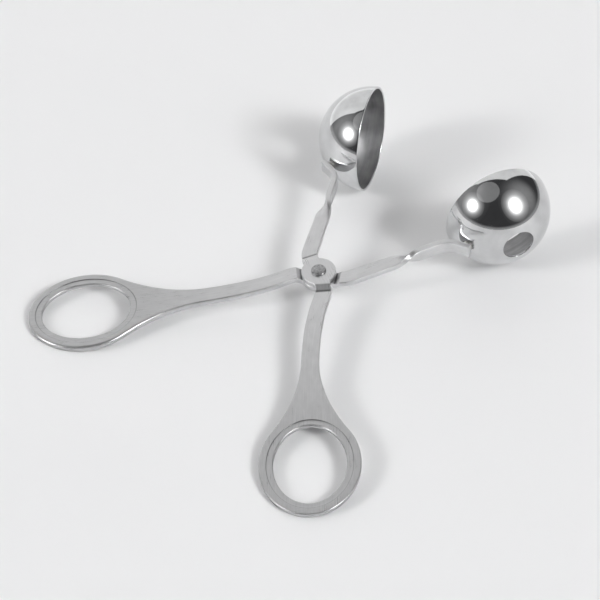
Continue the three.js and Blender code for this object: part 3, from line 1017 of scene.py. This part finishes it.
# Painted shade: the inside's tone is set far darker than the outside's, for the shade in the hollow; the
# streaks vary it at random.
set_tone(tree, shader, streaked, (0.20, 0.20, 0.205), (0.44, 0.44, 0.445))
set_roughness(tree, shader, streaked, 0.42, 0.58)
set_relief(tree, shader, streaks, 1.5 * MICRON)

for cup in cups:
    cup.data.materials.append(mirror)
    cup.data.materials.append(scoured)
    for face in cup.data.polygons:
        face.material_index = int(face.index % len(cup_profile) in INSIDE_RUN)
print("cups:", mirror.name, "and", scoured.name)

# %% [markdown]
# ### Rivet and welds
# The rivet's crown is mottled where the press bruised it. The weld is scaly and carries a trace of
# the brown that heat leaves on stainless steel. Both are a coarser noise with more contrast.

# %% Bruised steel of the rivet
tree, shader, place, bruised = new_finish("bruised rivet steel")
mottled = marks(tree, place, (0.9 * MM, 0.9 * MM, 0.9 * MM), 3)
set_tone(tree, shader, mottled, (0.24, 0.24, 0.245), (0.52, 0.52, 0.525))
set_roughness(tree, shader, mottled, 0.28, 0.46)
set_relief(tree, shader, mottled, 7 * MICRON)
rivet.data.materials.append(bruised)
print("rivet:", bruised.name)

# %% Scaly steel of the welds
tree, shader, place, scaly = new_finish("weld steel")
scale_marks = marks(tree, place, (0.5 * MM, 0.5 * MM, 0.5 * MM), 4)
set_tone(tree, shader, scale_marks, (0.30, 0.285, 0.27), (0.56, 0.55, 0.535))
set_roughness(tree, shader, scale_marks, 0.28, 0.5)
set_relief(tree, shader, scale_marks, 30 * MICRON)
for weld in welds:
    weld.data.materials.append(scaly)
print("welds:", scaly.name)

# %% [markdown]
# ## The camera
# The photograph looks down on the tool at about 44 degrees from a little under a metre away, through
# a long lens. A camera needs three directions: right, up, and back towards the photographer. They
# are the columns of its rotation matrix.

# %% Camera at the photograph's angle
VIEW_TURN = math.radians(-47.46)
VIEW_HEIGHT = math.radians(43.77)
VIEW_DISTANCE = 890.4 * MM
VIEW_AIM = Vector((-4.224 * MM, 5.14 * MM, 0))
LENS = 130.716

right = Vector((math.cos(VIEW_TURN), math.sin(VIEW_TURN), 0))
away = Vector((-math.sin(VIEW_TURN), math.cos(VIEW_TURN), 0))
back = Vector((0, 0, math.sin(VIEW_HEIGHT))) - away * math.cos(VIEW_HEIGHT)
camera_data = bpy.data.cameras.new("camera")
camera_data.lens = LENS
camera = bpy.data.objects.new("camera", camera_data)
camera_turn = Matrix((right, back.cross(right), back)).transposed().to_4x4()
camera.matrix_world = Matrix.Translation(VIEW_AIM + back * VIEW_DISTANCE) @ camera_turn
bpy.context.scene.collection.objects.link(camera)
bpy.context.scene.camera = camera
print("camera stands at", [round(x, 3) for x in camera.location])

# %% [markdown]
# ## The table
# The table is a plain pale sheet, and one large plane would do for the tool at rest. But the tool lies
# tilted, so the arm that swings comes down below the level of the table: its ring when the tool shuts,
# and its cup when it opens wide. The real tool would then rock over and settle again, while here the
# other arm stays where it lies, and a flat table would hide the lowest bit. So the table has a shallow
# hollow at either place. Their slopes are too gentle to be seen, and the tool's four feet stand outside
# them.

# %% Hollows where the swinging arm comes down
RING_HOLLOW = 50 * MM
CUP_HOLLOW = 18.5 * MM
shut, opened = (math.radians(limit) for limit in pivot["range_deg"])


def swung(angle):
    return lying_tool @ Matrix.Rotation(HALF_OPENING + angle, 4, "Z") @ TURNED_OVER


shut_ring = [swung(shut) @ press(spot.x, spot.y, THICK) for spot in rim]
opened_cup = [swung(opened) @ point for point in cup_points]
hollows = []
for points, radius in ((shut_ring, RING_HOLLOW), (opened_cup, CUP_HOLLOW)):
    lowest = min(points, key=lambda point: point.z)
    hollows.append((lowest, radius))
    print("hollow of", round(-lowest.z / MM, 2), "mm at", [round(x / MM) for x in lowest.xy])

# %% Top of the table, on lines that lie close together round the tool
TABLE_HALF = 8.0
FINE_HALF = 200 * MM
FINE_LINE = 2 * MM


def table_height(x, y):
    height = 0.0
    for lowest, radius in hollows:
        share = min(math.hypot(x - lowest.x, y - lowest.y) / radius, 1.0)
        height += lowest.z * (1 + math.cos(math.pi * share)) / 2
    return height


lines = [-TABLE_HALF, *even_steps(-FINE_HALF, FINE_HALF, FINE_LINE), FINE_HALF, TABLE_HALF]
table_points = [Vector((x, y, table_height(x, y))) for x in lines for y in lines]
table_faces = []
for row in range(len(lines) - 1):
    for k in range(len(lines) - 1):
        here, there = row * len(lines) + k, (row + 1) * len(lines) + k
        table_faces.append((here, there, there + 1, here + 1))
floor = make_piece("table_top", table_points, table_faces, table_points)

# %% Pale finish of the table
TABLE_COLOUR = (0.86, 0.86, 0.865, 1)
TABLE_ROUGHNESS = 0.6

pale = bpy.data.materials.new("pale table")
pale.use_nodes = True
pale_shader = pale.node_tree.nodes["Principled BSDF"]
pale_shader.inputs["Base Color"].default_value = TABLE_COLOUR
pale_shader.inputs["Roughness"].default_value = TABLE_ROUGHNESS
floor.data.materials.append(pale)
print("table:", 2 * TABLE_HALF, "m wide")

# %% [markdown]
# ## Room and lights
# Polished metal shows nothing but its surroundings, so the studio is part of the look. Behind the tool
# stands a large bright panel, which the flat arms mirror towards the camera. A softbox on either side
# puts a hot spot on each cup, with a soft glow round it, and a weak lamp hangs overhead. The softboxes
# are large and stand well away, because a lamp close by would burn out the table under it. The room is
# pale near the horizon, where the table ends, and dim above, and that dim part is what gives the cups
# their depth.

# %% Room: pale at the horizon, dim above
HORIZON = (0.45, 0.45, 0.455, 1)
DIM_ABOVE = (0.05, 0.05, 0.052, 1)
DIM_FROM = 0.12

room = bpy.data.worlds.new("studio room")
room.use_nodes = True
bpy.context.scene.world = room
sky = room.node_tree.nodes["Background"]
direction = room.node_tree.nodes.new("ShaderNodeTexCoord")
height = room.node_tree.nodes.new("ShaderNodeSeparateXYZ")
shade = room.node_tree.nodes.new("ShaderNodeValToRGB")
shade.color_ramp.elements[0].position = 0.0
shade.color_ramp.elements[0].color = HORIZON
shade.color_ramp.elements[1].position = DIM_FROM
shade.color_ramp.elements[1].color = DIM_ABOVE
room.node_tree.links.new(direction.outputs["Generated"], height.inputs["Vector"])
room.node_tree.links.new(height.outputs["Z"], shade.inputs["Fac"])
room.node_tree.links.new(shade.outputs["Color"], sky.inputs["Color"])
print("room:", room.name)


# %% A lamp at a place seen from the camera: right, away and up from the tool
def seen_from_camera(place):
    return right * place[0] + away * place[1] + Vector((0, 0, place[2]))


def studio_lamp(name, shape, place, turned_to, size, brightness):
    lamp = bpy.data.lights.new(name, "AREA")
    lamp.shape = shape
    lamp.size, lamp.size_y = size
    lit_area = size[0] * size[1] * (math.pi / 4 if shape == "ELLIPSE" else 1)
    lamp.energy = brightness * math.pi * lit_area
    stand = bpy.data.objects.new(name, lamp)
    stand.location = place
    stand.rotation_euler = turned_to.to_track_quat("Z", "Y").to_euler()
    stand.visible_camera = False
    bpy.context.scene.collection.objects.link(stand)
    print(name, "of", size, "m at", [round(x, 2) for x in stand.location])
    return lamp


# %% Panel behind the tool and a weak lamp overhead
PANEL_PLACE = (-0.39, 0.90, 1.26)
PANEL_SIZE = (2.55, 2.52)
PANEL_BRIGHTNESS = 0.80
OVERHEAD_TOWARD = (-0.27, -0.11, 0.956)
OVERHEAD_DISTANCE = 1.2
OVERHEAD_SIZE = (1.0, 1.0)
OVERHEAD_BRIGHTNESS = 0.2

studio_lamp("panel behind", "RECTANGLE", seen_from_camera(PANEL_PLACE), away, PANEL_SIZE, PANEL_BRIGHTNESS)
overhead = seen_from_camera(OVERHEAD_TOWARD)
studio_lamp("overhead lamp", "ELLIPSE", overhead * OVERHEAD_DISTANCE, overhead, OVERHEAD_SIZE,
            OVERHEAD_BRIGHTNESS)

# %% A glow that fades from the middle of a lamp to its edge
LAMP_MIDDLE = (0.5, 0.5, 0)


def fade_out(lamp, stops):
    lamp.use_nodes = True
    nodes, links = lamp.node_tree.nodes, lamp.node_tree.links
    spot = nodes.new("ShaderNodeNewGeometry")
    from_middle = reckon(lamp.node_tree, "DISTANCE", spot.outputs["Parametric"], LAMP_MIDDLE)
    glow = nodes.new("ShaderNodeValToRGB")
    glow.color_ramp.interpolation = "B_SPLINE"
    for position, _ in stops[1:-1]:
        glow.color_ramp.elements.new(position)
    for stop, (position, level) in zip(glow.color_ramp.elements, stops):
        stop.position = position
        stop.color = (level, level, level, 1)
    links.new(from_middle["Value"], glow.inputs["Fac"])
    links.new(glow.outputs["Color"], nodes["Emission"].inputs["Color"])
    print(lamp.name, "fades out in", len(stops), "steps")


# %% Softboxes: a hot spot where the bulb is, and the lit cloth, which reaches further back
SOFTBOX_DISTANCE = 3.6
BULB_BRIGHTNESS = 27.0
BULB_FADE = ((0.0, 1.0), (0.07, 1.0), (0.12, 0.25), (0.2, 0.035), (0.33, 0.01), (0.5, 0.0))
CLOTH_SIZE = 9.6
CLOTH_SHIFT = 2.25
CLOTH_BEHIND = 0.3
CLOTH_BRIGHTNESS = 0.3
CLOTH_FADE = ((0.0, 1.0), (0.2, 0.6), (0.35, 0.15), (0.5, 0.0))


def softbox(name, toward, back_side, spot_size):
    facing = seen_from_camera(toward).normalized()
    to_back = Vector((-facing.y, facing.x, 0)).normalized() * back_side
    bulb_place = facing * SOFTBOX_DISTANCE
    bulb = studio_lamp(name + " hot spot", "ELLIPSE", bulb_place, facing, spot_size, BULB_BRIGHTNESS)
    fade_out(bulb, BULB_FADE)
    cloth_place = facing * (SOFTBOX_DISTANCE + CLOTH_BEHIND) + to_back * CLOTH_SHIFT
    cloth = studio_lamp(name + " cloth", "ELLIPSE", cloth_place, facing, (CLOTH_SIZE, CLOTH_SIZE),
                        CLOTH_BRIGHTNESS)
    fade_out(cloth, CLOTH_FADE)


softbox("left softbox", (-0.799, -0.322, 0.507), -1, (3.75, 3.3))
softbox("right softbox", (0.611, -0.468, 0.639), 1, (4.05, 4.65))

# %% [markdown]
# ## Finishing
# The view transform is set to Standard, so that a colour renders as it is written.

# %% Colours as written
bpy.context.scene.view_settings.view_transform = "Standard"
